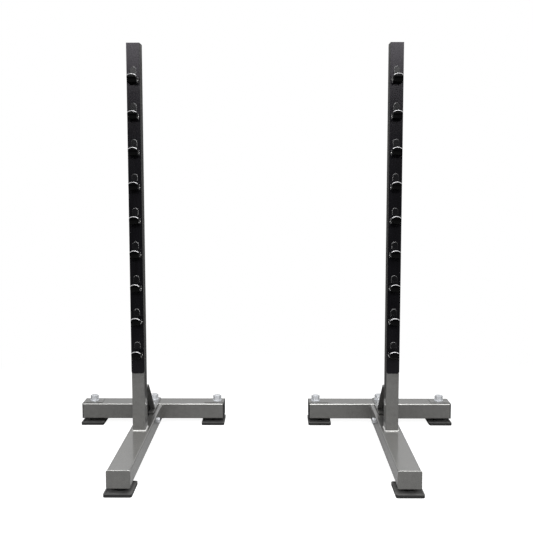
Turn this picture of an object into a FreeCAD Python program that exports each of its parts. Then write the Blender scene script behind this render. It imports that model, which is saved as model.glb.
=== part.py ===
import FreeCAD, Part
import math
import operator
import os
import Sketcher

# A pair of free-standing squat stands. Each stand has a welded upright on a long
# spine beam, a rear cross beam bolted on behind it, and nine J-hooks on a face plate.
# The frame's origin is on the floor in the middle of the pair's footprint.
# X runs across the pair, Y from the lifter's side to the rear beams, Z up.
# All sizes are in millimetres.

SIZES = {
    # the pair
    "stand_spacing": 1132.0,
    "foot_height": 28.0,
    "upright_top": 1800.0,
    # tubes
    "tube_wall": 3.0,
    "tube_corner": 5.0,
    "upright_width": 57.0,
    "upright_depth": 75.0,
    "spine_width": 92.0,
    "spine_height": 70.0,
    "spine_front": 540.0,
    "rear_gap": 456.0,
    "rear_depth": 114.0,
    "rear_length": 708.0,
    # closing pieces
    "cap_plate": 3.0,
    "end_cap_plate": 5.0,
    "plug_depth": 15.0,
    "plug_clearance": 0.5,
    # face plate
    "face_thickness": 5.0,
    "face_below_lip": 108.0,
    "face_corner": 9.0,
    # hooks
    "hook_width": 40.0,
    "hook_thickness": 8.0,
    "cradle_radius": 19.0,
    "lip_rise": 12.0,
    "lip_arch": 7.0,
    "back_rise": 45.0,
    "back_top_width": 24.0,
    "back_shoulder": 10.0,
    "hook_edge": 3.0,
    "lowest_lip": 470.0,
    "top_lip_drop": 132.0,
    "upper_extra": 7.0,
    # brace behind the upright
    "brace_thickness": 8.0,
    "brace_rise": 180.0,
    "brace_ledge": 64.0,
    "brace_setback": 111.0,
    "gusset_thickness": 10.0,
    # tie plate over the rear beam
    "tie_width": 54.0,
    "tie_thickness": 8.0,
    "tie_lead": 179.0,
    "tie_tail": 16.0,
    "tie_gap": 5.0,
    # spigot of the rear beam inside the spine
    "spigot_clearance": 1.0,
    "spigot_length": 196.0,
    "flange_thickness": 5.0,
    "flange_margin": 8.0,
    "flange_inset": 2.0,
    "clamp_inset": 40.0,
    "clamp_radius": 8.0,
    "clamp_flats": 24.0,
    "clamp_head": 10.0,
    "clamp_nut": 13.0,
    "clamp_tail": 4.0,
    # large bolts of the rear beam and the feet
    "bolt_radius": 12.0,
    "bolt_flats": 36.0,
    "bolt_head": 15.0,
    "nut_height": 24.0,
    "washer_radius": 22.0,
    "washer_thickness": 4.0,
    "hole_clearance": 1.0,
    "foot_bolt_inset": 44.0,
    "foot_bolt_lean": 8.0,
    "doubler_length": 96.0,
    "doubler_width": 80.0,
    "doubler_shift": 6.0,
    "doubler_thickness": 3.0,
    # rubber feet
    "foot_width": 112.0,
    "foot_length": 160.0,
    "foot_base": 12.0,
    "foot_corner": 10.0,
    "foot_rim": 8.0,
    "foot_recess": 2.0,
    "foot_overhang": 25.0,
    "foot_shift": 10.0,
    "foot_floor": 4.0,
    "boss_radius": 27.0,
    "head_clearance": 0.5,
    "thread_clearance": 0.25,
}

CROWN_SPREAD = math.sqrt(3)
HEXAGON = 6
LOWER_HOOKS = 7
HOOKS = 9
LEFT = -1
RIGHT = 1
SIDE_NAMES = {LEFT: "left", RIGHT: "right"}
OVERCUT = 1.0

OPERATIONS = {"+": operator.add, "-": operator.sub, "*": operator.mul, "/": operator.truediv}


class Term:
    """A size as a number, together with the sheet formula that gives it."""

    def __init__(self, number, formula):
        self.number = float(number)
        self.formula = formula

    def __add__(self, other):
        return combine(self, "+", other)

    def __radd__(self, other):
        return combine(other, "+", self)

    def __sub__(self, other):
        return combine(self, "-", other)

    def __rsub__(self, other):
        return combine(other, "-", self)

    def __mul__(self, other):
        return combine(self, "*", other)

    def __rmul__(self, other):
        return combine(other, "*", self)

    def __truediv__(self, other):
        return combine(self, "/", other)

    def __neg__(self):
        return combine(-1, "*", self)


def as_term(value):
    """Turn a plain number into a term."""
    return value if isinstance(value, Term) else Term(value, repr(float(value)))


def combine(left, sign, right):
    """Join two terms by one arithmetic sign."""
    left, right = as_term(left), as_term(right)
    number = OPERATIONS[sign](left.number, right.number)
    return Term(number, f"({left.formula} {sign} {right.formula})")


doc = FreeCAD.newDocument("squat_stands")
sheet = doc.addObject("Spreadsheet::Sheet", "sizes")
for row, (alias, value) in enumerate(SIZES.items(), start=1):
    sheet.set(f"A{row}", alias.replace("_", " "))
    sheet.set(f"B{row}", str(value))
    sheet.setAlias(f"B{row}", alias)
doc.recompute()

size = {alias: Term(value, "sizes." + alias) for alias, value in SIZES.items()}
subparts = []


def bind(target, path, term):
    """Tie one property to its formula in the sheet."""
    target.setExpression(path, as_term(term).formula)


def place(target, x, y, z, rotation=None):
    """Set a placement whose three coordinates follow the sheet."""
    coordinates = [as_term(term) for term in (x, y, z)]
    base = FreeCAD.Vector(*[term.number for term in coordinates])
    target.Placement = FreeCAD.Placement(base, rotation or FreeCAD.Rotation())
    for axis, term in zip("xyz", coordinates):
        bind(target, "Placement.Base." + axis, term)


def new_body(label):
    """Start one sub-part made of sketches and features."""
    body = doc.addObject("PartDesign::Body", label)
    body.Label = label
    return body


def new_sketch(body, plane_role, offset=0):
    """Attach an empty sketch to one of the body's own origin planes, moved along its normal."""
    sketch = body.newObject("Sketcher::SketchObject", body.Name + "_sketch")
    plane = [item for item in body.Origin.OriginFeatures if item.Role == plane_role][0]
    sketch.AttachmentSupport = [(plane, "")]
    sketch.MapMode = "FlatFace"
    offset = as_term(offset)
    sketch.AttachmentOffset = FreeCAD.Placement(FreeCAD.Vector(0, 0, offset.number), FreeCAD.Rotation())
    bind(sketch, "AttachmentOffset.Base.z", offset)
    return sketch


def pin_point(sketch, edge, end, across, up):
    """Hold one end of an edge at its two coordinates."""
    for kind, axis_line, term in (("DistanceX", -2, across), ("DistanceY", -1, up)):
        term = as_term(term)
        if term.number == 0:
            sketch.addConstraint(Sketcher.Constraint("PointOnObject", edge, end, axis_line))
            continue
        index = sketch.addConstraint(Sketcher.Constraint(kind, -1, 1, edge, end, term.number))
        sketch.setExpression(f"Constraints[{index}]", term.formula)


def arc_between(start, end, radius, turn):
    """Arc of less than a half circle. turn is 1 when it bends to the left on its way, -1 to the right."""
    chord = end - start
    half = chord.Length / 2
    height = math.sqrt(max(radius * radius - half * half, 0.0))
    sideways = FreeCAD.Vector(-chord.y, chord.x, 0).normalize()
    centre = (start + end) / 2 + sideways * height * turn
    angles = [math.atan2(point.y - centre.y, point.x - centre.x) for point in (start, end)]
    if turn < 0:
        angles.reverse()
    circle = Part.Circle(centre, FreeCAD.Vector(0, 0, 1), radius)
    return Part.ArcOfCircle(circle, angles[0], angles[1])


def draw_outline(sketch, corners):
    """Draw a closed outline from (across, up), or (across, up, radius, turn) where an arc leaves a corner."""
    points = [FreeCAD.Vector(as_term(c[0]).number, as_term(c[1]).number, 0) for c in corners]
    edges = []
    for number, corner in enumerate(corners):
        start, end = points[number], points[(number + 1) % len(points)]
        if len(corner) == 2:
            edges.append((sketch.addGeometry(Part.LineSegment(start, end), False), 1, 2))
            continue
        radius, turn = as_term(corner[2]), corner[3]
        index = sketch.addGeometry(arc_between(start, end, radius.number, turn), False)
        edges.append((index, 1, 2) if turn > 0 else (index, 2, 1))
    for number, corner in enumerate(corners):
        index, first, last = edges[number]
        before, before_first, before_last = edges[number - 1]
        sketch.addConstraint(Sketcher.Constraint("Coincident", before, before_last, index, first))
        pin_point(sketch, index, first, corner[0], corner[1])
        if len(corner) > 2:
            radius = as_term(corner[2])
            held = sketch.addConstraint(Sketcher.Constraint("Radius", index, radius.number))
            sketch.setExpression(f"Constraints[{held}]", radius.formula)


def draw_circle(sketch, across, up, radius):
    """Draw one full circle."""
    across, up, radius = as_term(across), as_term(up), as_term(radius)
    centre = FreeCAD.Vector(across.number, up.number, 0)
    index = sketch.addGeometry(Part.Circle(centre, FreeCAD.Vector(0, 0, 1), radius.number), False)
    pin_point(sketch, index, 3, across, up)
    held = sketch.addConstraint(Sketcher.Constraint("Radius", index, radius.number))
    sketch.setExpression(f"Constraints[{held}]", radius.formula)


def rectangle(width, height, centre_across=0, centre_up=0):
    """Corners of a plain rectangle about a centre."""
    left, right = centre_across - width / 2, centre_across + width / 2
    low, high = centre_up - height / 2, centre_up + height / 2
    return [(left, low), (right, low), (right, high), (left, high)]


def rounded_rectangle(width, height, radius, centre_across=0, centre_up=0):
    """Corners of a rectangle whose four corners are round."""
    left, right = centre_across - width / 2, centre_across + width / 2
    low, high = centre_up - height / 2, centre_up + height / 2
    return [
        (left + radius, low), (right - radius, low, radius, 1),
        (right, low + radius), (right, high - radius, radius, 1),
        (right - radius, high), (left + radius, high, radius, 1),
        (left, high - radius), (left, low + radius, radius, 1),
    ]


def pad(body, sketch, length, symmetric=False):
    """Thicken a sketch along its normal."""
    feature = body.newObject("PartDesign::Pad", body.Name + "_pad")
    feature.Profile = sketch
    feature.Length = as_term(length).number
    bind(feature, "Length", length)
    if symmetric:
        feature.SideType = "Symmetric"
    doc.recompute()
    return feature


def pocket(body, sketch, length, symmetric=False):
    """Cut a sketch against its normal, and make sure that it took material away."""
    before = body.Shape.Volume
    feature = body.newObject("PartDesign::Pocket", body.Name + "_pocket")
    feature.Profile = sketch
    feature.Length = as_term(length).number
    bind(feature, "Length", length)
    if symmetric:
        feature.SideType = "Symmetric"
    doc.recompute()
    if not body.Shape.Volume < before:
        raise RuntimeError(body.Label + ": a pocket cut nothing")
    return feature


def finish(subpart):
    """Note a sub-part for the checks and the export."""
    subparts.append(subpart)
    return subpart


def group(label, members):
    """One node that holds identical separate pieces."""
    compound = doc.addObject("Part::Compound", label)
    compound.Label = label
    compound.Links = members
    return finish(compound)


# levels and lines that several pieces share
beam_bottom = size["foot_height"]
spine_top = beam_bottom + size["spine_height"]
spine_middle = beam_bottom + size["spine_height"] / 2
rear_height = size["spine_height"] + size["tie_gap"]
rear_top = beam_bottom + rear_height
tie_top = rear_top + size["tie_thickness"]
rear_front = size["rear_gap"]
rear_centre = rear_front + size["rear_depth"] / 2
foot_bolt_across = size["rear_length"] / 2 - size["foot_bolt_inset"]
inner_bolt = foot_bolt_across + size["foot_bolt_lean"]
outer_bolt = size["foot_bolt_lean"] - foot_bolt_across
front_foot_centre = size["foot_length"] / 2 - size["spine_front"] - size["foot_overhang"]
spigot_reach = size["flange_thickness"] + size["spigot_length"]
clamp_setback = spigot_reach - size["clamp_inset"]
clamp_line = rear_front - clamp_setback
brace_top = spine_top + size["brace_rise"]
inner_corner = size["tube_corner"] - size["tube_wall"]
bolt_hole = size["bolt_radius"] + size["hole_clearance"]
clamp_hole = size["clamp_radius"] + size["hole_clearance"]

# the footprint's middle along Y is the frame's origin
footprint_front = front_foot_centre - size["foot_length"] / 2
footprint_rear = rear_centre + size["foot_length"] / 2
origin_line = (footprint_front + footprint_rear) / 2


def stand_place(target, side, inward, y, z, rotation=None):
    """Place a piece in one stand. inward is measured from the upright's middle towards the other stand."""
    across = side * (size["stand_spacing"] / 2 - inward)
    place(target, across, y - origin_line, z, rotation)


def tube(label, width, height, length, holes):
    """Rectangular tube along its own Z, with cross holes given as (plane, spots, radius, reach)."""
    body = new_body(label)
    outside = new_sketch(body, "XY_Plane")
    draw_outline(outside, rounded_rectangle(width, height, size["tube_corner"]))
    pad(body, outside, length)
    inside = new_sketch(body, "XY_Plane", length)
    wall = 2 * size["tube_wall"]
    draw_outline(inside, rounded_rectangle(width - wall, height - wall, inner_corner))
    pocket(body, inside, length)
    for plane_role, spots, radius, reach in holes:
        drill = new_sketch(body, plane_role)
        for across, up in spots:
            draw_circle(drill, across, up, radius)
        pocket(body, drill, reach, symmetric=True)
    return body


def upright(prefix, side):
    """Tube that carries the face plate. It stands on the spine."""
    body = tube(prefix + "upright", size["upright_width"], size["upright_depth"],
                size["upright_top"] - spine_top, [])
    stand_place(body, side, 0, size["upright_depth"] / 2, spine_top)
    finish(body)


def plugged_cap(label, width, height, plate_thickness):
    """Closing cap: a flat plate over the tube's end and a block that fits inside the tube."""
    body = new_body(label)
    plate = new_sketch(body, "XY_Plane")
    draw_outline(plate, rounded_rectangle(width, height, size["tube_corner"]))
    pad(body, plate, plate_thickness)
    block = new_sketch(body, "XY_Plane", -size["plug_depth"])
    draw_outline(block, rounded_rectangle(plug_size(width), plug_size(height), inner_corner))
    pad(body, block, size["plug_depth"])
    return body


def plug_size(outer):
    """Width of a plug that fits a tube of this outer width."""
    return outer - 2 * size["tube_wall"] - 2 * size["plug_clearance"]


def top_cap(prefix, side):
    """Cap on the upright's open top."""
    width, depth = size["upright_width"], size["upright_depth"]
    body = plugged_cap(prefix + "top_cap", width, depth, size["cap_plate"])
    stand_place(body, side, 0, depth / 2, size["upright_top"])
    finish(body)


def face_plate(prefix, side):
    """Flat plate on the upright's front, with its two lower corners rounded."""
    body = new_body(prefix + "face_plate")
    outline = new_sketch(body, "XZ_Plane")
    half = size["upright_width"] / 2
    low = size["lowest_lip"] - size["face_below_lip"]
    high = size["upright_top"] + size["cap_plate"]
    corner = size["face_corner"]
    draw_outline(outline, [
        (corner - half, low), (half - corner, low, corner, 1),
        (half, low + corner), (half, high), (-half, high),
        (-half, low + corner, corner, 1),
    ])
    pad(body, outline, size["face_thickness"])
    stand_place(body, side, 0, 0, 0)
    finish(body)


def hook(prefix, side, number, lip_height):
    """J-hook bent from flat bar. Its own origin is the cradle's centre height on the face plate."""
    body = new_body(f"{prefix}hook_{number}")
    thick, inner = size["hook_thickness"], size["cradle_radius"]
    outer = inner + thick
    centre = -outer
    back_inside, lip_inside, lip_outside = -thick, -(thick + 2 * inner), -2 * outer
    profile = new_sketch(body, "YZ_Plane")
    draw_outline(profile, [
        (0, size["back_rise"]), (back_inside, size["back_rise"]),
        (back_inside, 0, inner, -1), (centre, -inner, inner, -1),
        (lip_inside, 0), (lip_inside, size["lip_rise"]), (lip_outside, size["lip_rise"]),
        (lip_outside, 0, outer, 1), (centre, -outer, outer, 1), (0, 0),
    ])
    pad(body, profile, size["hook_width"], symmetric=True)
    round_lip(body, lip_outside)
    narrow_back(body)
    soften_hook(body, lip_outside)
    stand_place(body, side, 0, -size["face_thickness"], lip_height - size["lip_rise"])
    finish(body)


def round_lip(body, lip_outside):
    """Round the front lip's top with one arc across its width."""
    half, rise, arch = size["hook_width"] / 2, size["lip_rise"], size["lip_arch"]
    radius = (half * half + arch * arch) / (2 * arch)
    shoulder = rise - arch
    outside, above = half + OVERCUT, rise + OVERCUT
    waste = new_sketch(body, "XZ_Plane", OVERCUT - lip_outside)
    draw_outline(waste, [
        (-half, shoulder, radius, -1), (0, rise, radius, -1), (half, shoulder),
        (outside, shoulder), (outside, above), (-outside, above), (-outside, shoulder),
    ])
    pocket(body, waste, size["hook_thickness"] + 2 * OVERCUT)


def narrow_back(body):
    """Taper the back leg to a narrower round-topped tab."""
    half, full = size["back_top_width"] / 2, size["hook_width"] / 2
    apex, shoulder = size["back_rise"], size["back_shoulder"]
    outside, above = full + OVERCUT, apex + OVERCUT
    waste = new_sketch(body, "XZ_Plane", size["hook_thickness"] + OVERCUT)
    draw_outline(waste, [
        (-half, shoulder), (-half, apex - half, half, -1), (0, apex, half, -1), (half, apex - half),
        (half, shoulder), (full, 0), (outside, 0), (outside, above), (-outside, above),
        (-outside, 0), (-full, 0),
    ])
    pocket(body, waste, size["hook_thickness"] + 2 * OVERCUT)


def soften_hook(body, lip_outside):
    """Round over the lip's two arched rims."""
    rims = []
    planes = (lip_outside.number, lip_outside.number + size["hook_thickness"].number)
    for index, edge in enumerate(body.Shape.Edges, start=1):
        box = edge.BoundBox
        flat = box.YLength < 1e-3 and min(abs(box.YMin - plane) for plane in planes) < 1e-3
        if flat and box.ZLength > 1 and box.XLength > 1 and box.YMin < -size["cradle_radius"].number:
            rims.append(f"Edge{index}")
    base = body.Tip
    fillet = body.newObject("PartDesign::Fillet", body.Name + "_rims")
    fillet.Base = (base, rims)
    fillet.Radius = size["hook_edge"].number
    bind(fillet, "Radius", size["hook_edge"])
    doc.recompute()


def hook_heights():
    """Lip heights from the lowest hook up. The upper hooks stand a little farther apart."""
    lowest, highest = size["lowest_lip"], size["upright_top"] - size["top_lip_drop"]
    wide_gaps = HOOKS - LOWER_HOOKS
    pitch = (highest - lowest - wide_gaps * size["upper_extra"]) / (HOOKS - 1)
    heights = []
    for number in range(HOOKS):
        wide = max(0, number - LOWER_HOOKS + 1)
        heights.append(lowest + number * pitch + wide * size["upper_extra"])
    return heights


def spine(prefix, side):
    """Long beam on the floor side. Its rear end slides over the rear beam's spigot."""
    length = size["spine_front"] - size["cap_plate"] + rear_front - size["flange_thickness"]
    rear_end = rear_front - size["flange_thickness"]
    clamp_spot = (0, rear_end - clamp_line)
    foot_spot = (0, rear_end - front_foot_centre)
    body = tube(prefix + "spine", size["spine_width"], size["spine_height"], length, [
        ("YZ_Plane", [clamp_spot], clamp_hole, size["spine_width"] + 2 * OVERCUT),
    ])
    drill_bottom(body, foot_spot)
    stand_place(body, side, 0, rear_end, spine_middle, FreeCAD.Rotation(FreeCAD.Vector(1, 0, 0), 90))
    finish(body)


def drill_bottom(body, spot):
    """Bolt hole of the front foot, through the spine's lower wall only."""
    drill = new_sketch(body, "XZ_Plane", size["spine_height"] / 2 + OVERCUT)
    draw_circle(drill, spot[0], spot[1], bolt_hole)
    pocket(body, drill, size["tube_wall"] + 2 * OVERCUT)


def spine_cap(prefix, side):
    """Plate that closes the spine's front end."""
    body = new_body(prefix + "spine_cap")
    outline = new_sketch(body, "XZ_Plane")
    draw_outline(outline, rounded_rectangle(size["spine_width"], size["spine_height"], size["tube_corner"]))
    pad(body, outline, size["cap_plate"])
    stand_place(body, side, 0, size["cap_plate"] - size["spine_front"], spine_middle)
    finish(body)


def rear_beam(prefix, side):
    """Cross beam that carries the two rear feet."""
    length = size["rear_length"] - 2 * size["end_cap_plate"]
    middle = length / 2
    spots = [(0, middle), (0, middle - side * inner_bolt), (0, middle - side * outer_bolt)]
    body = tube(prefix + "rear_beam", rear_height, size["rear_depth"], length, [
        ("YZ_Plane", spots, bolt_hole, rear_height + 2 * OVERCUT),
    ])
    rotation = FreeCAD.Rotation(FreeCAD.Vector(0, 1, 0), 90)
    across = side * size["stand_spacing"] / 2 - middle
    place(body, across, rear_centre - origin_line, beam_bottom + rear_height / 2, rotation)
    finish(body)


def rear_caps(prefix, side):
    """Plastic plugs in both ends of the rear beam."""
    height, depth = rear_height, size["rear_depth"]
    members = []
    for end in (LEFT, RIGHT):
        label = f"{prefix}rear_cap_{SIDE_NAMES[end]}"
        body = plugged_cap(label, height, depth, size["end_cap_plate"])
        reach = end * (size["rear_length"] / 2 - size["end_cap_plate"])
        across = side * size["stand_spacing"] / 2 + reach
        rotation = FreeCAD.Rotation(FreeCAD.Vector(0, 1, 0), 90 * end)
        place(body, across, rear_centre - origin_line, beam_bottom + height / 2, rotation)
        members.append(body)
    group(prefix + "rear_caps", members)


# the brace strip's side view, from the upright's back face over the bend to its foot
brace_start = size["upright_depth"]
brace_bend = brace_start + size["brace_ledge"]
brace_foot = rear_front - size["brace_setback"]
brace_fall = brace_top - tie_top
brace_run = brace_foot - brace_bend


def brace_slope():
    """Length of the sloping part, as a term."""
    number = math.hypot(brace_fall.number, brace_run.number)
    return Term(number, f"sqrt({brace_fall.formula}^2 + {brace_run.formula}^2)")


def under_bend():
    """Across and up of the strip's underside at the bend."""
    thick = size["brace_thickness"]
    shift = thick * (brace_slope() - brace_run) / brace_fall
    return brace_bend - shift, brace_top - thick


def under_foot():
    """Where the strip's underside meets the tie plate."""
    return brace_foot - size["brace_thickness"] * brace_slope() / brace_fall


def brace(prefix, side):
    """Bent strip from the upright's back down to the tie plate."""
    body = new_body(prefix + "brace")
    outline = new_sketch(body, "YZ_Plane")
    bend_across, bend_up = under_bend()
    draw_outline(outline, [
        (brace_start, bend_up), (bend_across, bend_up), (under_foot(), tie_top),
        (brace_foot, tie_top), (brace_bend, brace_top), (brace_start, brace_top),
    ])
    pad(body, outline, size["tie_width"], symmetric=True)
    stand_place(body, side, 0, 0, 0)
    finish(body)


def gusset(prefix, side):
    """Upright web that fills the corner under the brace strip."""
    body = new_body(prefix + "gusset")
    outline = new_sketch(body, "YZ_Plane")
    bend_across, bend_up = under_bend()
    plate_front = rear_front - size["tie_lead"]
    draw_outline(outline, [
        (brace_start, spine_top), (plate_front, spine_top), (plate_front, tie_top),
        (under_foot(), tie_top), (bend_across, bend_up), (brace_start, bend_up),
    ])
    pad(body, outline, size["gusset_thickness"], symmetric=True)
    stand_place(body, side, 0, 0, 0)
    finish(body)


def tie_plate(prefix, side):
    """Plate that ties the brace's foot to the rear beam. It floats above the lower spine."""
    body = new_body(prefix + "tie_plate")
    front = rear_front - size["tie_lead"]
    rear = rear_front + size["rear_depth"] - size["tie_tail"]
    outline = new_sketch(body, "XY_Plane")
    draw_outline(outline, rectangle(size["tie_width"], rear - front, 0, (rear + front) / 2))
    pad(body, outline, size["tie_thickness"])
    drill = new_sketch(body, "XY_Plane", size["tie_thickness"] + OVERCUT)
    draw_circle(drill, 0, rear_centre, bolt_hole)
    pocket(body, drill, size["tie_thickness"] + 2 * OVERCUT)
    stand_place(body, side, 0, 0, rear_top)
    finish(body)


def spigot(prefix, side):
    """Welded stub of the rear beam: a root flange and a tube that fits inside the spine."""
    body = new_body(prefix + "spigot")
    slack = 2 * (size["tube_wall"] + size["spigot_clearance"])
    width, height = size["spine_width"] - slack, size["spine_height"] - slack
    flange = new_sketch(body, "XZ_Plane")
    flange_width = size["spine_width"] + 2 * size["flange_margin"]
    flange_height = size["spine_height"] - 2 * size["flange_inset"]
    draw_outline(flange, rectangle(flange_width, flange_height))
    pad(body, flange, size["flange_thickness"])
    outside = new_sketch(body, "XZ_Plane")
    draw_outline(outside, rounded_rectangle(width, height, inner_corner))
    pad(body, outside, spigot_reach)
    inside = new_sketch(body, "XZ_Plane", spigot_reach)
    wall = 2 * size["tube_wall"]
    draw_outline(inside, rectangle(width - wall, height - wall))
    pocket(body, inside, size["spigot_length"])
    drill = new_sketch(body, "YZ_Plane")
    draw_circle(drill, -clamp_setback, 0, clamp_hole)
    pocket(body, drill, size["spine_width"], symmetric=True)
    stand_place(body, side, 0, rear_front, spine_middle)
    finish(body)


def hexagon_block(label, flats, height):
    """Hexagonal block with its upper corners turned off to a cone."""
    prism = doc.addObject("Part::Prism", label + "_prism")
    prism.Polygon = HEXAGON
    bind(prism, "Circumradius", flats / math.sqrt(3))
    bind(prism, "Height", height)
    cone = doc.addObject("Part::Cone", label + "_cone")
    crown = flats / 2 * 0.95
    bind(cone, "Radius1", crown + height * CROWN_SPREAD)
    bind(cone, "Radius2", crown)
    bind(cone, "Height", height)
    block = doc.addObject("Part::MultiCommon", label + "_block")
    block.Shapes = [prism, cone]
    return block


def cylinder(label, radius, height, lift=0):
    """Plain round bar along Z."""
    bar = doc.addObject("Part::Cylinder", label)
    bind(bar, "Radius", radius)
    bind(bar, "Height", height)
    place(bar, 0, 0, lift)
    return bar


def hex_bolt(label, flats, head, radius, length):
    """Bolt along Z: its seat is at the origin, the head above and the shank below."""
    bolt = doc.addObject("Part::MultiFuse", label)
    bolt.Shapes = [hexagon_block(label, flats, head), cylinder(label + "_shank", radius, length, -length)]
    bolt.Label = label
    return bolt


def hex_nut(label, flats, height, bore):
    """Nut along Z with its seat at the origin."""
    nut = doc.addObject("Part::Cut", label)
    nut.Base = hexagon_block(label, flats, height)
    nut.Tool = cylinder(label + "_bore", bore, height)
    nut.Label = label
    return nut


DOWNWARDS = FreeCAD.Rotation(FreeCAD.Vector(1, 0, 0), 180)
long_shank = rear_height + size["tie_thickness"] + size["washer_thickness"] + size["nut_height"]
head_seat = beam_bottom - size["washer_thickness"]


def rear_bolt_spots():
    """Distance inward, head seat and upper washer seat of the three bolts through the rear beam."""
    foot_seat = rear_top + size["doubler_thickness"]
    return [
        (inner_bolt, head_seat, foot_seat),
        (as_term(0), beam_bottom, tie_top),
        (outer_bolt, head_seat, foot_seat),
    ]


def rear_bolts(prefix, side):
    """Three long bolts up through the rear beam."""
    bolts = []
    for number, (inward, seat, upper_seat) in enumerate(rear_bolt_spots(), start=1):
        bolt = hex_bolt(f"{prefix}rear_bolt_{number}", size["bolt_flats"], size["bolt_head"],
                        size["bolt_radius"], long_shank)
        stand_place(bolt, side, inward, rear_centre, seat, DOWNWARDS)
        bolts.append(bolt)
    group(prefix + "rear_bolts", bolts)


def washers(prefix, side):
    """Washers under the three upper nuts, and between each foot bolt's head and the beam."""
    spots = []
    for inward, seat, upper_seat in rear_bolt_spots():
        spots.append((inward, rear_centre, upper_seat))
        if inward.number:
            spots.append((inward, rear_centre, seat))
    spots.append((as_term(0), front_foot_centre, head_seat))
    members = []
    for number, (inward, y, seat) in enumerate(spots, start=1):
        washer = doc.addObject("Part::Cut", f"{prefix}washer_{number}")
        washer.Base = cylinder(washer.Name + "_disc", size["washer_radius"], size["washer_thickness"])
        washer.Tool = cylinder(washer.Name + "_hole", bolt_hole, size["washer_thickness"])
        stand_place(washer, side, inward, y, seat)
        members.append(washer)
    group(prefix + "washers", members)


def beam_nuts(prefix, side):
    """Tall lock nuts on the rear beam, and one inside the spine's front end."""
    spots = []
    for inward, seat, upper_seat in rear_bolt_spots():
        spots.append((inward, rear_centre, upper_seat + size["washer_thickness"]))
    spots.append((as_term(0), front_foot_centre, beam_bottom + size["tube_wall"]))
    nuts = []
    for number, (inward, y, seat) in enumerate(spots, start=1):
        nut = hex_nut(f"{prefix}nut_{number}", size["bolt_flats"], size["nut_height"],
                      size["bolt_radius"] + size["thread_clearance"])
        stand_place(nut, side, inward, y, seat)
        nuts.append(nut)
    group(prefix + "beam_nuts", nuts)


def front_foot_bolt(prefix, side):
    """Short bolt up through the spine's lower wall."""
    length = size["washer_thickness"] + size["tube_wall"] + size["nut_height"]
    bolt = hex_bolt(prefix + "front_foot_bolt", size["bolt_flats"], size["bolt_head"],
                    size["bolt_radius"], length)
    stand_place(bolt, side, 0, front_foot_centre, head_seat, DOWNWARDS)
    finish(bolt)


def clamp_bolt(prefix, side):
    """Cross bolt that holds the spine on the spigot, with its head towards the other stand."""
    length = size["spine_width"] + size["clamp_nut"] + size["clamp_tail"]
    bolt = hex_bolt(prefix + "clamp_bolt", size["clamp_flats"], size["clamp_head"],
                    size["clamp_radius"], length)
    inward = FreeCAD.Rotation(FreeCAD.Vector(0, 1, 0), -90 * side)
    stand_place(bolt, side, size["spine_width"] / 2, clamp_line, spine_middle, inward)
    finish(bolt)
    nut = hex_nut(prefix + "clamp_nut", size["clamp_flats"], size["clamp_nut"],
                  size["clamp_radius"] + size["thread_clearance"])
    outward = FreeCAD.Rotation(FreeCAD.Vector(0, 1, 0), 90 * side)
    stand_place(nut, side, -size["spine_width"] / 2, clamp_line, spine_middle, outward)
    finish(nut)


def doublers(prefix, side):
    """Doubler plates under the foot bolts' washers, a little nearer to the beam's middle than the bolts."""
    members = []
    for end, inward in ((LEFT, outer_bolt), (RIGHT, inner_bolt)):
        body = new_body(f"{prefix}doubler_{SIDE_NAMES[end]}")
        middle = side * (end * size["doubler_shift"] + size["foot_bolt_lean"])
        outline = new_sketch(body, "XY_Plane")
        draw_outline(outline, rectangle(size["doubler_length"], size["doubler_width"], middle))
        pad(body, outline, size["doubler_thickness"])
        drill = new_sketch(body, "XY_Plane", size["doubler_thickness"] + OVERCUT)
        draw_circle(drill, 0, 0, bolt_hole)
        pocket(body, drill, size["doubler_thickness"] + 2 * OVERCUT)
        stand_place(body, side, inward, rear_centre, rear_top)
        members.append(body)
    group(prefix + "doublers", members)


def foot(label, side, inward, y, shift):
    """Rubber foot. Its boss fits over the bolt's head and washer, and its base may lie to one side."""
    body = new_body(label)
    middle = side * as_term(shift)
    base = new_sketch(body, "XY_Plane")
    width, length = size["foot_width"], size["foot_length"]
    draw_outline(base, rounded_rectangle(width, length, size["foot_corner"], middle))
    pad(body, base, size["foot_base"])
    recess = new_sketch(body, "XY_Plane", size["foot_base"])
    rim = 2 * size["foot_rim"]
    draw_outline(recess, rectangle(width - rim, length - rim, middle))
    pocket(body, recess, size["foot_recess"])
    boss = new_sketch(body, "XY_Plane", size["foot_floor"])
    draw_circle(boss, 0, 0, size["boss_radius"])
    pad(body, boss, size["foot_height"] - size["foot_floor"])
    head_pocket = new_sketch(body, "XY_Plane", size["foot_height"])
    draw_circle(head_pocket, 0, 0, size["washer_radius"] + size["head_clearance"])
    depth = size["washer_thickness"] + size["bolt_head"] + size["head_clearance"]
    pocket(body, head_pocket, depth)
    stand_place(body, side, inward, y, 0)
    finish(body)


def stand(side):
    """All the pieces of one stand."""
    prefix = SIDE_NAMES[side] + "_"
    upright(prefix, side)
    top_cap(prefix, side)
    face_plate(prefix, side)
    for number, height in enumerate(hook_heights(), start=1):
        hook(prefix, side, number, height)
    spine(prefix, side)
    spine_cap(prefix, side)
    rear_beam(prefix, side)
    rear_caps(prefix, side)
    brace(prefix, side)
    gusset(prefix, side)
    tie_plate(prefix, side)
    spigot(prefix, side)
    clamp_bolt(prefix, side)
    rear_bolts(prefix, side)
    washers(prefix, side)
    beam_nuts(prefix, side)
    front_foot_bolt(prefix, side)
    doublers(prefix, side)
    shift, lean = size["foot_shift"], size["foot_bolt_lean"]
    foot(prefix + "front_foot", side, as_term(0), front_foot_centre, 0)
    foot(prefix + "rear_foot_inner", side, inner_bolt, rear_centre, lean + shift)
    foot(prefix + "rear_foot_outer", side, outer_bolt, rear_centre, lean - shift)


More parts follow.
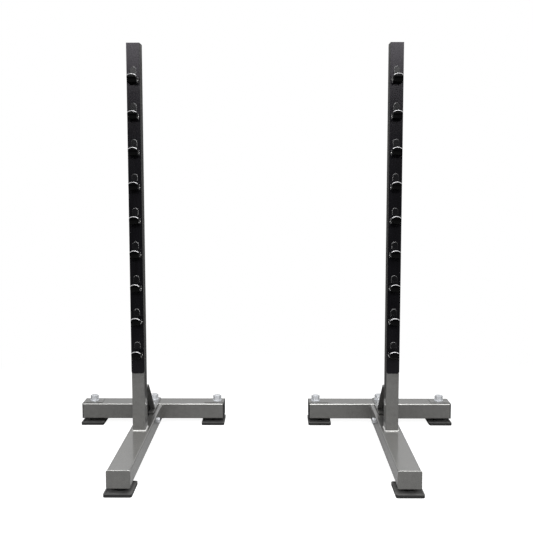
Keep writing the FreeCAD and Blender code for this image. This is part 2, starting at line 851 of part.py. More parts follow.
def check_document():
    """Stop if any object failed to build."""
    for item in doc.Objects:
        if "Invalid" in item.State or "Error" in item.State:
            raise RuntimeError(f"{item.Label} is {item.State}")
    for item in subparts:
        if item.Shape.isNull() or not item.Shape.isValid() or not item.Shape.Solids:
            raise RuntimeError(item.Label + " has no valid solid")


for stand_side in (LEFT, RIGHT):
    stand(stand_side)
doc.recompute()
check_document()
os.makedirs("parts", exist_ok=True)
for item in subparts:
    item.Shape.exportStep(f"parts/{item.Label}.step")
    box = item.Shape.BoundBox
    print(f"{item.Label}: {len(item.Shape.Solids)} solid, {item.Shape.Volume / 1000:.1f} cm3, "
          f"z {box.ZMin:.1f} to {box.ZMax:.1f}")
print(len(subparts), "sub-parts")
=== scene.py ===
# %% [markdown]
# # A pair of squat stands
# Two mirrored steel stands. Each has a tall upright with a ladder of J-hooks, a long spine beam on the
# floor side and a cross beam at the back, all on rubber feet.
# The solid parts come ready made from the CAD model, in metres. This lesson gives them their paint, metal
# and rubber, adds the weld beads that a drawing leaves out, and sets a studio round them.

# %% Load the stands
import math
import random

import bmesh
import bpy
from mathutils import Matrix, Vector


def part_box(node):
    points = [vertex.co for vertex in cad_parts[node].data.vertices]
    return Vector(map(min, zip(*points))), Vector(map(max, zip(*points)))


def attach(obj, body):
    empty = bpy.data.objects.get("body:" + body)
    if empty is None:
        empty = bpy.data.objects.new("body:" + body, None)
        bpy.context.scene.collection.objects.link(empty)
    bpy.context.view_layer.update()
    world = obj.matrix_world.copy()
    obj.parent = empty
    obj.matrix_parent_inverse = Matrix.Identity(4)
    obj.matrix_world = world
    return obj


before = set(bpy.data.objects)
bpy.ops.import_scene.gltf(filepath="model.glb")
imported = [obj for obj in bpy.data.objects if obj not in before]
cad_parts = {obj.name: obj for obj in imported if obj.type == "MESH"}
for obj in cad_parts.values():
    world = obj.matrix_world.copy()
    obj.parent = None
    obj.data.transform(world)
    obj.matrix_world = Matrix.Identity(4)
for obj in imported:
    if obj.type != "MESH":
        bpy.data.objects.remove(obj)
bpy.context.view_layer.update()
print("pieces from the CAD model:", len(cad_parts))

# %% [markdown]
# ## Names and sizes
# Both stands have the same pieces, so each piece is written once and made for the left and the right.

# %% Sides and a few helpers
SIDES = {"left": -1, "right": 1}


def low_high(name):
    """Lowest and highest corner of a CAD piece, as two vectors."""
    low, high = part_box(name)
    return Vector(low), Vector(high)


def stand_centre(side):
    """X of a stand's middle plane, from its upright."""
    low, high = low_high(side + "_upright")
    return (low.x + high.x) / 2


print("stand centres:", [round(stand_centre(side), 4) for side in SIDES])

# %% [markdown]
# ## Writing shaders as sums
# A finish is made of many small sums on noise and position. Blender draws each sum as a Math node, and long
# chains of them are hard to read. One way is to wire every node by hand. Here one small class holds a
# socket and turns the usual signs into Math nodes, so a mask reads as it would on paper.

# %% A socket that can be added and multiplied
class Signal:
    """A number or vector that changes over the surface."""

    def __init__(self, finish, socket):
        self.finish = finish
        self.socket = socket

    def sum(self, operation, first, second, clamp=False):
        settings = {"operation": operation, "use_clamp": clamp}
        return self.finish.add("Math", settings, {0: first, 1: second}).out()

    def __add__(self, other):
        return self.sum("ADD", self, other)

    def __radd__(self, other):
        return self.sum("ADD", other, self)

    def __sub__(self, other):
        return self.sum("SUBTRACT", self, other)

    def __rsub__(self, other):
        return self.sum("SUBTRACT", other, self)

    def __mul__(self, other):
        return self.sum("MULTIPLY", self, other)

    def __rmul__(self, other):
        return self.sum("MULTIPLY", other, self)

    def __truediv__(self, other):
        return self.sum("DIVIDE", self, other)

    def __pow__(self, other):
        return self.sum("POWER", self, other)

    def __abs__(self):
        return self.sum("ABSOLUTE", self, 0.0)

    def over(self, edge, width):
        """0 below the edge and 1 above it, with a soft step as wide as width."""
        return self.sum("ADD", (self - edge) / width, 0.5, clamp=True)


class Placed:
    """A node in a finish. Its sockets are asked for by name."""

    def __init__(self, finish, node):
        self.finish = finish
        self.node = node

    def out(self, name=0):
        return Signal(self.finish, self.node.outputs[name])


print("signals ready")

# %% [markdown]
# ## One method for every other node
# Colour mixes, noises and bumps all come from one method. It takes the node's type, then its settings, then
# what goes into its sockets. Settings go first because some of them change the sockets.

# %% A finish and its nodes
class Finish:
    """A material under construction."""

    def __init__(self, name, owner=None):
        self.material = owner or bpy.data.materials.new(name)
        self.material.use_nodes = True
        self.tree = self.material.node_tree
        self.tree.nodes.clear()
        self.place = self.add("TexCoord").out("Generated" if owner else "Object")
        self.normal = self.add("NewGeometry").out("Normal")

    def add(self, kind, settings=None, sockets=None):
        node = self.tree.nodes.new("ShaderNode" + kind)
        for name, value in (settings or {}).items():
            setattr(node, name, value)
        for name, value in (sockets or {}).items():
            self.feed(self.find(node, name), value)
        return Placed(self, node)

    def find(self, node, name):
        if isinstance(name, int):
            return node.inputs[name]
        by_id = [socket for socket in node.inputs if socket.identifier == name]
        return by_id[0] if by_id else node.inputs[name]

    def feed(self, socket, value):
        if isinstance(value, Signal):
            self.tree.links.new(value.socket, socket)
        elif isinstance(value, tuple) and socket.type == "RGBA":
            socket.default_value = (*value[:3], 1.0)
        else:
            socket.default_value = value

    def noise(self, scale, detail=2.0, roughness=0.5, stretch=None):
        """Soft noise from 0 to 1. stretch squeezes it along an axis."""
        where = self.place
        if stretch:
            where = self.add("VectorMath", {"operation": "MULTIPLY"}, {0: where, 1: stretch}).out()
        sockets = {"Vector": where, "Scale": scale, "Detail": detail, "Roughness": roughness}
        return self.add("TexNoise", {}, sockets).out("Fac")

    def axis(self, letter, vector=None):
        """One coordinate of the place on the surface, in metres."""
        return self.add("SeparateXYZ", {}, {"Vector": vector or self.place}).out(letter)

    def blend(self, mask, without, within):
        """Mix two colours by a mask."""
        sockets = {"Factor_Float": mask, "A_Color": without, "B_Color": within}
        node = self.add("Mix", {"data_type": "RGBA"}, sockets)
        result = [socket for socket in node.node.outputs if socket.identifier == "Result_Color"][0]
        return Signal(self, result)

    def bump(self, height, strength, distance, under=None):
        """Turn a height into a tilted normal."""
        sockets = {"Height": height, "Strength": strength, "Distance": distance}
        if under:
            sockets["Normal"] = under
        return self.add("Bump", {}, sockets).out("Normal")

    def surface(self, **values):
        """Close the finish with a Principled shader. Words in a name are joined by underscores."""
        sockets = {name.replace("_", " "): value for name, value in values.items()}
        shader = self.add("BsdfPrincipled", {}, sockets)
        output = self.add("OutputMaterial")
        self.tree.links.new(shader.node.outputs["BSDF"], output.node.inputs["Surface"])
        return self.material


print("finish builder ready")

# %% [markdown]
# ## Grey metallic powder coat
# The upright, the beams and the plates are steel under a grey powder coat with fine aluminium flake. On
# the real stand it is a warm dark grey with a broad sheen, a little mottled, and with a faint orange peel.
# The round corners of the tubes that look up are painted paler, a painted highlight for the line of light
# they catch.
# A plain metal shader would mirror the room, and a plain paint would look dead. A third of metal under a
# clear coat gives the broad sheen, and noises of several sizes give flake, mottling and peel.

# %% The grey coat
FLAKE_SCALE = 1400.0
PEEL_SCALE = 260.0
CLOUD_SCALE = 45.0
MOTTLE_SCALE = 9.0
GREY_TONES = (0.148, 0.146, 0.138), (0.190, 0.188, 0.178)
CLOUD_TONE = (0.108, 0.106, 0.100)
FLAKE_TONE = (0.38, 0.38, 0.37)
DUST_TONE = (0.34, 0.34, 0.33)
CORNER_HIGHLIGHT_TONE = (0.66, 0.66, 0.64)


def painted_corner_highlight(coat):
    """Painted highlight on the round corners: 1 where they look up and to the front or back, less sideways.
    """
    up = coat.axis("Z", coat.normal)
    across = abs(coat.axis("Y", coat.normal)).over(0.30, 0.30)
    along_x = up.over(0.34, 0.22) * (1 - up.over(0.93, 0.08)) * across
    along_y = up.over(0.66, 0.16) * (1 - up.over(0.90, 0.08)) * (1 - across) * 0.35
    return along_x + along_y


def grey_coat():
    coat = Finish("grey_powder_coat")
    mottle = coat.noise(MOTTLE_SCALE, detail=4.0, roughness=0.6)
    flake = coat.noise(FLAKE_SCALE, detail=1.0).over(0.56, 0.22)
    peel = coat.noise(PEEL_SCALE, detail=2.0)
    cloud = coat.noise(CLOUD_SCALE, detail=3.0, roughness=0.55)
    tone = coat.blend(mottle.over(0.5, 0.7), *GREY_TONES)
    tone = coat.blend(cloud.over(0.50, 0.35) * 0.45, tone, CLOUD_TONE)
    tone = coat.blend(flake * 0.35, tone, FLAKE_TONE)
    dust = coat.axis("Z", coat.normal).over(0.8, 0.4) * cloud.over(0.5, 0.5)
    tone = coat.blend(dust * 0.16, tone, DUST_TONE)
    # painted highlight: the round corners that look up get a paler tone, so they read as a line of light
    corner = painted_corner_highlight(coat)
    tone = coat.blend(corner, tone, CORNER_HIGHLIGHT_TONE)
    roughness = 0.30 + mottle * 0.08 + cloud * 0.06 - flake * 0.05 - corner * 0.10
    normal = coat.bump(peel, 0.10, 0.0004)
    normal = coat.bump(flake, 0.05, 0.0002, normal)
    return coat.surface(Base_Color=tone, Metallic=0.35, Roughness=roughness, Normal=normal,
                        Specular_IOR_Level=0.35, Coat_Weight=0.90, Coat_Roughness=0.12, Coat_IOR=1.8)


GREY = grey_coat()
print("made", GREY.name)

# %% [markdown]
# ## Black powder coat
# The face plate is coated black. The web behind the upright is painted black too, as painted shade for the
# deep shade it sits in behind the upright. A flat black would look like a hole. This coat is smooth, with a
# fine leathery grain and faint streaks down the plate, so it is never pure black.
# A low specular level keeps the white room from washing it out.

# %% The black coat
def black_grain(coat):
    """Height of the fine grain in the black coat."""
    grain = coat.noise(620.0, detail=3.0, roughness=0.6)
    broad = coat.noise(130.0, detail=2.0)
    return grain * 0.7 + broad * 0.3


BLACK_TONES = (0.0030, 0.0030, 0.0038), (0.0052, 0.0050, 0.0062)
STREAK_TONE = (0.0095, 0.0090, 0.0115)
SPECK_TONE = (0.016, 0.016, 0.019)


def black_tone(coat, grain, mottle):
    """Mottled black, with faint streaks down the plate and lighter specks on the grain."""
    streaks = coat.noise(260.0, detail=2.0, stretch=(1.0, 1.0, 0.04))
    tone = coat.blend(mottle.over(0.5, 0.6), *BLACK_TONES)
    tone = coat.blend(streaks.over(0.58, 0.2) * 0.5, tone, STREAK_TONE)
    return coat.blend(grain.over(0.62, 0.2) * 0.3, tone, SPECK_TONE)


def black_mottle(coat):
    """Broad light and dark patches in the black coat."""
    return coat.noise(11.0, detail=4.0, roughness=0.6)


def black_coat():
    coat = Finish("black_powder_coat")
    grain = black_grain(coat)
    mottle = black_mottle(coat)
    tone = black_tone(coat, grain, mottle)
    roughness = 0.17 + mottle * 0.05 + grain * 0.04
    normal = coat.bump(grain, 0.07, 0.0004)
    return coat.surface(Base_Color=tone, Metallic=0.0, Roughness=roughness, Normal=normal,
                        Specular_IOR_Level=0.26, Specular_Tint=(0.97, 0.92, 1.0))


BLACK = black_coat()
print("made", BLACK.name)

# %% [markdown]
# ## Hooks rubbed to bare steel, with a painted highlight on the rim
# What is laid in the hooks rubs the coat off where it lands, in the bottom of the cradle. The lip's rim is
# made pale steel as well, but there it is a painted highlight for the light the rounded rim catches. The
# mask could be painted by hand. Here it comes from the place: the height above each hook's lowest point and
# how far the surface looks up, broken up by noise. The gaps above the seventh hook are a little wider, so
# heights there are worked out apart. The tab above the cradle has the plate's own black, and the rest of the
# hook a darker copy of it as painted shade.

# %% The hooks' finish
HOOK_COUNT = 9
HOOK_BOXES = [low_high(f"left_hook_{number}") for number in range(1, HOOK_COUNT + 1)]
HOOK_LOW = HOOK_BOXES[0][0].z
HOOK_STEP = HOOK_BOXES[1][0].z - HOOK_LOW
HOOK_UPPER = HOOK_BOXES[7][0].z
HOOK_UPPER_STEP = HOOK_BOXES[8][0].z - HOOK_UPPER
BELOW_HOOK = 0.03
LEG_DEPTH = 0.010
SEAT_TOP = 0.013
RIM_HIGHLIGHT_LOW = 0.024
TAB_LOW = 0.026
# painted shade: the hooks' black is a darker copy of the plate's black coat
HOOK_SHADED_TONES = (0.0006, 0.0006, 0.0007), (0.0012, 0.0012, 0.0014)
WEAR_AND_HIGHLIGHT_TONE = (0.66, 0.66, 0.67)


def height_in_hook(coat):
    """Metres above the lowest point of the hook that the place belongs to."""
    z = coat.axis("Z")
    modulo = {"operation": "FLOORED_MODULO"}
    lower = coat.add("Math", modulo, {0: z - (HOOK_LOW - BELOW_HOOK), 1: HOOK_STEP}).out()
    upper = coat.add("Math", modulo, {0: z - (HOOK_UPPER - BELOW_HOOK), 1: HOOK_UPPER_STEP}).out()
    is_upper = z.over(HOOK_UPPER - BELOW_HOOK, 0.001)
    return lower + is_upper * (upper - lower) - BELOW_HOOK


def hook_coat():
    coat = Finish("hook_black_worn_and_highlit")
    front, back = HOOK_BOXES[0][0].y, HOOK_BOXES[0][1].y
    height = height_in_hook(coat)
    grain = black_grain(coat)
    mottle = coat.noise(38.0, detail=4.0, roughness=0.65)
    up = coat.axis("Z", coat.normal)
    on_lip = 1 - coat.axis("Y").over(front + LEG_DEPTH, 0.001)
    # painted highlight: pale steel on the lip's rim where it looks up; the seat below is real wear
    rim_highlight = on_lip * up.over(0.26, 0.24) * height.over(RIM_HIGHLIGHT_LOW, 0.006)
    seat = up.over(0.8, 0.25) * (1 - height.over(SEAT_TOP, 0.004)) * (1 - on_lip)
    wear_and_rim_highlight = rim_highlight * (0.9 + mottle * 0.1) + seat * mottle.over(0.50, 0.2) * 0.8
    tab = coat.axis("Y").over(back - LEG_DEPTH, 0.001) * height.over(TAB_LOW, 0.008)
    tone = coat.blend(mottle.over(0.5, 0.6), *HOOK_SHADED_TONES)
    tone = coat.blend(tab, tone, black_tone(coat, grain, black_mottle(coat)))
    tone = coat.blend(wear_and_rim_highlight, tone, WEAR_AND_HIGHLIGHT_TONE)
    roughness = 0.24 + mottle * 0.06
    normal = coat.bump(grain, 0.10, 0.0003)
    return coat.surface(Base_Color=tone, Metallic=wear_and_rim_highlight * 0.5, Roughness=roughness, Normal=normal,
                        Specular_IOR_Level=0.10, Coat_Weight=tab, Coat_Roughness=0.21, Coat_IOR=1.33)


HOOK = hook_coat()
print("made", HOOK.name, "for", HOOK_COUNT, "heights")

# %% [markdown]
# ## Bright zinc
# The bolts, nuts and washers are zinc plated: pale and slightly cloudy, with a cool tint and fine marks from
# turning and from the spanner. A full metal would mirror the dim wall round the studio and look dark, so
# most of the brightness is in the plating's own pale tone.

# %% The zinc finish
ZINC_TONES = (0.84, 0.86, 0.90), (0.93, 0.95, 0.98)
DULL_ZINC = (0.52, 0.54, 0.56)


def zinc_plate():
    zinc = Finish("bright_zinc")
    cloud = zinc.noise(60.0, detail=4.0, roughness=0.6)
    fine = zinc.noise(900.0, detail=2.0)
    drawn = zinc.noise(420.0, detail=2.0, stretch=(1.0, 1.0, 6.0))
    tone = zinc.blend(cloud.over(0.5, 0.5), *ZINC_TONES)
    dull = zinc.noise(150.0, detail=4.0, roughness=0.7).over(0.62, 0.15)
    tone = zinc.blend(dull * 0.35, tone, DULL_ZINC)
    roughness = 0.16 + cloud * 0.08 + dull * 0.14
    normal = zinc.bump(fine * 0.5 + drawn * 0.5, 0.08, 0.0003)
    return zinc.surface(Base_Color=tone, Metallic=0.35, Roughness=roughness, Normal=normal)


ZINC = zinc_plate()
print("made", ZINC.name)

# %% [markdown]
# ## Welds
# The seam at the upright's foot and the lumps of weld beside the hooks are pale silver over a rippled weld,
# brighter than the paint round them: a painted highlight for the light their round beads catch.
# The black seams round the hooks are thick with paint, and so glossier than the plate they stand on.

# %% The weld finishes
WELD_HIGHLIGHT_TONES = (0.62, 0.62, 0.60), (0.80, 0.80, 0.78)
THICK_BLACK_TONES = (0.010, 0.010, 0.011), (0.024, 0.024, 0.026)


def weld_painted_highlight():
    weld = Finish("weld_painted_highlight")
    spots = weld.noise(240.0, detail=3.0)
    tone = weld.blend(spots.over(0.5, 0.5), *WELD_HIGHLIGHT_TONES)
    normal = weld.bump(spots, 0.12, 0.0004)
    return weld.surface(Base_Color=tone, Metallic=0.55, Roughness=0.26 + spots * 0.12, Normal=normal)


def black_weld():
    weld = Finish("black_weld")
    spots = weld.noise(240.0, detail=3.0)
    tone = weld.blend(spots.over(0.5, 0.5), *THICK_BLACK_TONES)
    normal = weld.bump(spots, 0.12, 0.0004)
    return weld.surface(Base_Color=tone, Metallic=0.0, Roughness=0.16 + spots * 0.08, Normal=normal,
                        Specular_IOR_Level=0.8, Coat_Weight=1.0, Coat_Roughness=0.06, Coat_IOR=1.8)


WELD_HIGHLIGHT = weld_painted_highlight()
BLACK_WELD = black_weld()
print("made", WELD_HIGHLIGHT.name, "and", BLACK_WELD.name)

# %% [markdown]
# ## Moulded rubber and plastic
# The feet are black rubber with a fine moulded grain and a little pale dust on what looks up. A foot's side
# is painted darker along its upper and its lower edge, as painted shade: the shade of the undercut at the
# bottom and of the rounded edge at the top. Those lines could be strips of their own, but a mask on the
# height draws them without another piece. The plugs in the tubes' ends are a harder, smoother plastic.

# %% Rubber and plastic finishes
SHADE_LINE_LOW = 0.0028
SHADE_LINE_HIGH = 0.0095
FOOT_BASE = 0.0125
RUBBER_TONES = (0.026, 0.026, 0.026), (0.038, 0.038, 0.038)
DUSTY_RUBBER = (0.170, 0.168, 0.165)
EDGE_SHADE_TONE = (0.010, 0.010, 0.010)
PLASTIC_TONES = (0.010, 0.010, 0.0105), (0.016, 0.016, 0.0165)


def rubber():
    skin = Finish("moulded_rubber")
    grain = skin.noise(800.0, detail=3.0, roughness=0.6)
    cloud = skin.noise(26.0, detail=4.0, roughness=0.6)
    up = skin.axis("Z", skin.normal)
    height = skin.axis("Z")
    tone = skin.blend(cloud.over(0.5, 0.6), *RUBBER_TONES)
    dust = up.over(0.7, 0.4) * cloud.over(0.30, 0.5)
    tone = skin.blend(dust * 0.65, tone, DUSTY_RUBBER)
    # painted shade: dark lines along the side's lower edge (the undercut) and upper edge (the rounded top)
    edge = (1 - up.over(0.5, 0.2)) * (height.over(SHADE_LINE_HIGH, 0.001) + (1 - height.over(SHADE_LINE_LOW, 0.001)))
    tone = skin.blend(edge * (1 - height.over(FOOT_BASE, 0.001)) * 0.8, tone, EDGE_SHADE_TONE)
    roughness = 0.58 + grain * 0.14 + dust * 0.1
    normal = skin.bump(grain, 0.25, 0.0004)
    return skin.surface(Base_Color=tone, Roughness=roughness, Normal=normal, Specular_IOR_Level=0.35)


def plastic():
    skin = Finish("moulded_plastic")
    grain = skin.noise(1100.0, detail=2.0)
    cloud = skin.noise(30.0, detail=4.0, roughness=0.6)
    tone = skin.blend(cloud.over(0.5, 0.6), *PLASTIC_TONES)
    roughness = 0.44 + cloud * 0.10 + grain * 0.08
    normal = skin.bump(grain, 0.15, 0.0003)
    return skin.surface(Base_Color=tone, Roughness=roughness, Normal=normal, Specular_IOR_Level=0.4)


RUBBER = rubber()
PLASTIC = plastic()
print("made", RUBBER.name, "and", PLASTIC.name)

# %% [markdown]
# ## Giving each CAD piece its finish
# The pieces keep their shape, and only the material in their slot changes. The finish follows from the
# piece's name, so that both stands are served by one loop.

# %% Finishes by name
FINISH_WORDS = [
    ("hook", HOOK),
    ("face_plate", BLACK),
    # the web's black is painted shade: it stands for the deep shade behind the upright
    ("gusset", BLACK),
    ("top_cap", PLASTIC),
    ("rear_caps", PLASTIC),
    ("bolt", ZINC),
    ("nut", ZINC),
    ("washers", ZINC),
    ("foot", RUBBER),
]


def finish_for(name):
    """The finish whose word is in the piece's name, or else the grey coat."""
    for word, material in FINISH_WORDS:
        if word in name:
            return material
    return GREY


used = {}
for name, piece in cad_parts.items():
    material = finish_for(name)
    for slot in piece.material_slots:
        slot.material = material
    used[material.name] = used.get(material.name, 0) + 1
print("pieces in each finish:", used)

# %% [markdown]
# ## Weld beads
# The plates and tubes are welded, and the seams show as a thin rippled bead under the paint. A bead could be
# a displaced cylinder. Here it is swept by hand: a small round section follows the seam, and its radius
# swells and shrinks with each ripple of the weld.

# %% A bead along a seam
RIPPLE = 0.0032
SECTION_POINTS = 10


def bead_mesh(name, path, radius, closed=False, seed=1):
    """Mesh of a bead whose radius ripples along the path."""
    dice = random.Random(seed)
    stations = []
    count = len(path) if closed else len(path) - 1
    for number in range(count):
        start, end = Vector(path[number]), Vector(path[(number + 1) % len(path)])
        steps = max(2, round((end - start).length / (RIPPLE / 4)))
        for step in range(steps):
            stations.append((start.lerp(end, step / steps), (end - start).normalized()))
    if not closed:
        stations.append((Vector(path[-1]), stations[-1][1]))
    mesh = bmesh.new()
    rings = []
    travelled = 0.0
    for index, (point, along) in enumerate(stations):
        if index:
            travelled += (point - stations[index - 1][0]).length
        swell = 1 + 0.10 * math.sin(travelled / RIPPLE * math.tau) + dice.uniform(-0.04, 0.04)
        if not closed and index in (0, len(stations) - 1):
            swell *= 0.5
        sideways = along.orthogonal().normalized()
        upward = along.cross(sideways)
        ring = []
        for corner in range(SECTION_POINTS):
            angle = math.tau * corner / SECTION_POINTS
            offset = sideways * math.cos(angle) + upward * math.sin(angle)
            ring.append(mesh.verts.new(point + offset * radius * swell))
        rings.append(ring)
    pairs = list(zip(rings, rings[1:]))
    if closed:
        pairs.append((rings[-1], rings[0]))
    else:
        mesh.faces.new(list(reversed(rings[0])))
        mesh.faces.new(rings[-1])
    for near, far in pairs:
        for corner in range(SECTION_POINTS):
            after = (corner + 1) % SECTION_POINTS
            mesh.faces.new((near[corner], near[after], far[after], far[corner]))
    for face in mesh.faces:
        face.smooth = True
    data = bpy.data.meshes.new(name)
    mesh.to_mesh(data)
    mesh.free()
    return data


def add_piece(name, data, side, material):
    """Put a mesh in the scene and let it ride on its stand."""
    piece = bpy.data.objects.new(name, data)
    bpy.context.scene.collection.objects.link(piece)
    piece.data.materials.append(material)
    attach(piece, side + "_stand")
    return piece


print("bead maker ready")

# %% [markdown]
# ## Where the welds are
# The seams could be drawn one by one. Here they are read from the pieces' own boxes, so that they stay on
# their joints when a size changes. One function goes round the frame. Another gives each hook a bead up both
# sides of its back leg, one round its tab, and a lump of weld on either side, made bright as a painted
# highlight.

# %% Seams on the frame
TUBE_CORNER = 0.005
FOOT_BEAD = 0.0045
BRACE_BEAD = 0.0025
BLACK_BEAD = 0.0022
CAP_BEAD = 0.0020
WEB_INSET = 0.004
WEB_SEAM = 0.200


def rounded_loop(low, high, level, radius, corner_steps=5):
    """Points round a rectangle with round corners, at one height."""
    points = []
    corners = [(high.x, low.y, -90), (high.x, high.y, 0), (low.x, high.y, 90), (low.x, low.y, 180)]
    for x, y, start in corners:
        centre_x = x - radius if x == high.x else x + radius
        centre_y = y - radius if y == high.y else y + radius
        for step in range(corner_steps + 1):
            angle = math.radians(start + 90 * step / corner_steps)
            points.append((centre_x + radius * math.cos(angle), centre_y + radius * math.sin(angle), level))
    return points


def brace_seams(side):
    """Seams across the brace's head and foot."""
    low, high = low_high(side + "_brace")
    head = [(low.x, low.y, high.z), (high.x, low.y, high.z)]
    foot = [(low.x, high.y, low.z), (high.x, high.y, low.z)]
    return {"brace_head": (head, BRACE_BEAD, False, GREY, "grey_paint"),
            "brace_foot": (foot, BRACE_BEAD, False, GREY, "grey_paint")}


def web_seams(side):
    """Seams up the back and along the foot of the web, on both of its sides, black like the web's painted
    shade.
    """
    low, high = low_high(side + "_gusset")
    centre, half = stand_centre(side), (high.x - low.x) / 2
    seams = {}
    for sign in (-1, 1):
        edge = centre + sign * half
        back = [(edge, low.y, low.z + WEB_INSET), (edge, low.y, high.z)]
        floor = [(edge, low.y + WEB_INSET, low.z), (edge, low.y + WEB_SEAM, low.z)]
        seams[f"web_back_{sign + 1}"] = (back, BLACK_BEAD, False, BLACK, "black_paint")
        seams[f"web_floor_{sign + 1}"] = (floor, BLACK_BEAD, False, BLACK, "black_paint")
    return seams


def spine_cap_seam(side):
    """Seam round the cap that closes the spine's front end."""
    low, high = low_high(side + "_spine")
    flat_low, flat_high = Vector((low.x, low.z, 0)), Vector((high.x, high.z, 0))
    path = [(x, low.y, z) for x, z, _ in rounded_loop(flat_low, flat_high, 0, TUBE_CORNER)]
    return {"spine_cap": (path, CAP_BEAD, True, GREY, "grey_paint")}


def stand_beads(side, seed):
    """All the visible seams of one stand."""
    low, high = low_high(side + "_upright")
    foot = rounded_loop(low, high, low.z, TUBE_CORNER)
    # the foot seam's pale silver is a painted highlight
    seams = {"upright_foot": (foot, FOOT_BEAD, True, WELD_HIGHLIGHT, "grey_paint")}
    seams.update(brace_seams(side))
    seams.update(web_seams(side))
    seams.update(spine_cap_seam(side))
    for name, (path, radius, closed, material, slot) in seams.items():
        data = bead_mesh(f"{side}_bead_{name}", path, radius, closed, seed)
        add_piece(f"{side}_bead_{name}", data, side, material)
    return len(seams)


print("frame seams ready, widest bead", FOOT_BEAD, "m in radius")

# %% Seams and lumps on the hooks
LUMP_BEAD = 0.0028
LEG_SEAM = 0.004, 0.027
LUMP_SEAM = 0.017, 0.012
TAB_HALF = 0.012
TAB_SIDE = 0.018
TAB_STEPS = 12


def tab_seam(low, high):
    """Path round the top of a hook's tab."""
    centre, middle = (low.x + high.x) / 2, high.z - TAB_HALF
    path = [(centre - TAB_HALF, high.y, middle - TAB_SIDE)]
    for step in range(TAB_STEPS + 1):
        angle = math.pi * (1 - step / TAB_STEPS)
        path.append((centre + TAB_HALF * math.cos(angle), high.y, middle + TAB_HALF * math.sin(angle)))
    path.append((centre + TAB_HALF, high.y, middle - TAB_SIDE))
    return path


def hook_beads(side, seed):
    """Beads beside and round every hook's back leg, and a lump of weld on either side, pale as a painted
    highlight.
    """
    for number in range(1, HOOK_COUNT + 1):
        low, high = low_high(f"{side}_hook_{number}")
        bottom, top = low.z + LEG_SEAM[0], low.z + LEG_SEAM[1]
        seams = [[(edge, high.y, bottom), (edge, high.y, top)] for edge in (low.x, high.x)]
        seams.append(tab_seam(low, high))
        for part, path in enumerate(seams):
            data = bead_mesh(f"{side}_bead_hook_{number}_{part}", path, BLACK_BEAD, False, seed + number)
            add_piece(f"{side}_bead_hook_{number}_{part}", data, side, BLACK_WELD)
        for part, edge in enumerate((low.x, high.x)):
            lump = [(edge, high.y, low.z + height) for height in LUMP_SEAM]
            data = bead_mesh(f"{side}_lump_hook_{number}_{part}", lump, LUMP_BEAD)
            add_piece(f"{side}_lump_hook_{number}_{part}", data, side, WELD_HIGHLIGHT)


print("hook seams ready for", HOOK_COUNT, "hooks")

# %% Beads of both stands
for seed, side in enumerate(SIDES, start=3):
    print(side, "stand:", stand_beads(side, seed), "seams on the frame")
    hook_beads(side, seed)

# %% [markdown]
# ## The studio
# The background is plain white. The floor and the room are white for the camera, while the lamps stay at a
# plain level, so that the paint keeps its own colour. Soft light comes from a wide lamp overhead and a long
# one in front. In an all-white room the paint would mirror white and lose its edges, so mirror-like surfaces
# see something darker: a dim wall round the horizon, and a floor that is lit only near the stands.

# %% Who sees the studio
WHITE = (1.0, 1.0, 1.0)
DIM = 0.05


def seen_directly(coat):
    """Two masks: 1 for what the camera sees directly, and 1 for what a mirror-like surface sees."""
    path = coat.add("LightPath")
    camera, through = path.out("Is Camera Ray"), path.out("Is Transmission Ray")
    return camera.sum("MAXIMUM", camera, through), path.out("Is Glossy Ray")


print("mirror-like surfaces see a level of", DIM, "where the camera sees white")

# %% The floor
FLOOR_HALF = 14.0
FLOOR_TONES = (0.48, 0.48, 0.48), (0.50, 0.50, 0.50)
FLOOR_GLOW = 0.92
SHADOW_REACH, SHADOW_FADE = 1.7, 0.9
LIT_BACK, BACK_FADE = 0.7, 0.5
LIT_FRONT, FRONT_FADE = -2.3, 0.6


def glowing(coat, strength):
    """A white glow."""
    return coat.add("Emission", {}, {"Color": WHITE, "Strength": strength}).out()


def white_floor():
    """A pale floor that keeps the stands' soft shadow close by and is plain white farther off."""
    coat = Finish("studio_floor")
    straight, glossy = seen_directly(coat)
    tone = coat.blend(coat.noise(3.0, detail=2.0), *FLOOR_TONES)
    x, y = coat.axis("X"), coat.axis("Y")
    away = ((x * x * 0.5 + y * y) ** 0.5).over(SHADOW_REACH, SHADOW_FADE)
    beyond = y.over(LIT_BACK, BACK_FADE) + (1 - y.over(LIT_FRONT, FRONT_FADE))
    lit = coat.add("BsdfDiffuse", {}, {"Color": tone}).out()
    near = coat.add("AddShader", {}, {0: lit, 1: glowing(coat, FLOOR_GLOW)}).out()
    camera_side = coat.add("MixShader", {}, {0: away, 1: near, 2: glowing(coat, 1.0)}).out()
    mirror_side = coat.add("MixShader", {}, {0: beyond, 1: lit, 2: glowing(coat, DIM)}).out()
    mixed = coat.add("MixShader", {}, {0: straight, 1: lit, 2: camera_side}).out()
    mixed = coat.add("MixShader", {}, {0: glossy, 1: mixed, 2: mirror_side})
    output = coat.add("OutputMaterial")
    coat.tree.links.new(mixed.node.outputs[0], output.node.inputs["Surface"])
    return coat.material


def floor_plane():
    data = bpy.data.meshes.new("floor")
    half = FLOOR_HALF
    corners = [(-half, -half, 0), (half, -half, 0), (half, half, 0), (-half, half, 0)]
    data.from_pydata(corners, [], [(0, 1, 2, 3)])
    floor = bpy.data.objects.new("floor", data)
    bpy.context.scene.collection.objects.link(floor)
    floor.data.materials.append(white_floor())


floor_plane()
print("floor of", 2 * FLOOR_HALF, "m")

# %% The room
ROOM_LIGHT = 0.30
WALL_TOP, WALL_FADE = 0.26, 0.28


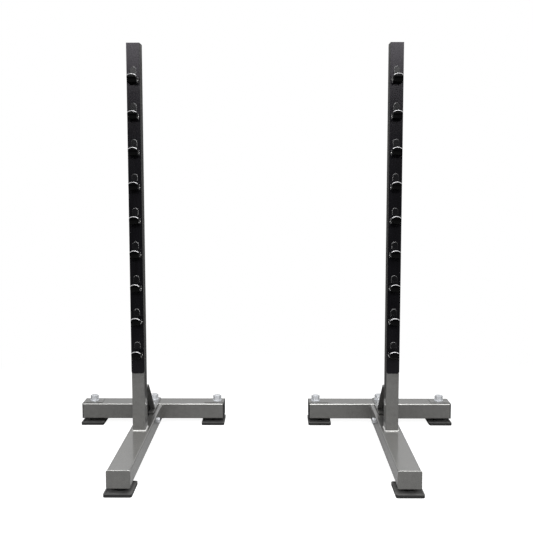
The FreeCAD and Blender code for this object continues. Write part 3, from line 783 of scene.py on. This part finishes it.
def white_room():
    """White for the camera. Mirror-like surfaces see a dim wall round the horizon and white above it."""
    room = Finish("white_room", bpy.data.worlds.new("white_room"))
    bpy.context.scene.world = room.material
    straight, glossy = seen_directly(room)
    wall = room.blend(room.axis("Z").over(WALL_TOP, WALL_FADE), (DIM, DIM, DIM), WHITE)
    plain = room.add("Background", {}, {"Color": WHITE, "Strength": ROOM_LIGHT}).out()
    white = room.add("Background", {}, {"Color": WHITE, "Strength": 1.0}).out()
    mirrored = room.add("Background", {}, {"Color": wall, "Strength": 1.0}).out()
    mixed = room.add("MixShader", {}, {0: straight, 1: plain, 2: white}).out()
    mixed = room.add("MixShader", {}, {0: glossy, 1: mixed, 2: mirrored})
    output = room.add("OutputWorld")
    room.tree.links.new(mixed.node.outputs[0], output.node.inputs["Surface"])


white_room()
print("room light", ROOM_LIGHT)

# %% The lamps
def soft_lamp(name, place, aim, width, height, watts):
    data = bpy.data.lights.new(name, "AREA")
    data.shape = "RECTANGLE"
    data.size = width
    data.size_y = height
    data.energy = watts
    lamp = bpy.data.objects.new(name, data)
    lamp.location = place
    lamp.rotation_euler = (Vector(aim) - Vector(place)).to_track_quat("-Z", "Y").to_euler()
    bpy.context.scene.collection.objects.link(lamp)


soft_lamp("lamp_overhead", place=(0.2, -0.9, 4.2), aim=(0.0, 0.0, 0.5), width=2.6, height=2.0, watts=80.0)
soft_lamp("lamp_front", place=(0.2, -4.4, 2.8), aim=(0.0, 0.0, 0.9), width=4.2, height=1.0, watts=105.0)
print("two lamps, studio ready")

# %% [markdown]
# ## The camera
# The picture is taken from chest height, about four metres in front and a little right of the middle. The
# numbers come from matching the stands' edges in the photograph: the height of the horizon gives the
# camera's height, and the way the uprights spread towards the lens gives its distance.

# %% Camera at the photograph's place
PICTURE = 533
FOCAL_PIXELS = 885.65
SENSOR = 36.0
PITCH, YAW, ROLL = math.radians(-5.911), math.radians(0.549), math.radians(-0.055)
CAMERA_RIGHT = 0.0432
CAMERA_AWAY = 3.8678
CAMERA_HEIGHT = 1.2396
upright_front = low_high("left_upright")[0].y
CAMERA_PLACE = Vector((CAMERA_RIGHT, upright_front - CAMERA_AWAY, CAMERA_HEIGHT))


def photo_camera():
    data = bpy.data.cameras.new("photo_camera")
    data.sensor_width = SENSOR
    data.lens = FOCAL_PIXELS / PICTURE * SENSOR
    camera = bpy.data.objects.new("photo_camera", data)
    bpy.context.scene.collection.objects.link(camera)
    forward = Vector((-math.sin(YAW) * math.cos(PITCH), math.cos(YAW) * math.cos(PITCH), math.sin(PITCH)))
    right = Vector((math.cos(YAW), math.sin(YAW), 0.0))
    up = right.cross(forward)
    right, up = right * math.cos(ROLL) + up * math.sin(ROLL), up * math.cos(ROLL) - right * math.sin(ROLL)
    turn = Matrix((right, up, -forward)).transposed().to_4x4()
    camera.matrix_world = Matrix.Translation(CAMERA_PLACE) @ turn
    bpy.context.scene.camera = camera
    return camera


photo_camera()
scene = bpy.context.scene
scene.view_settings.view_transform = "Standard"
print("camera at", [round(value, 3) for value in CAMERA_PLACE])
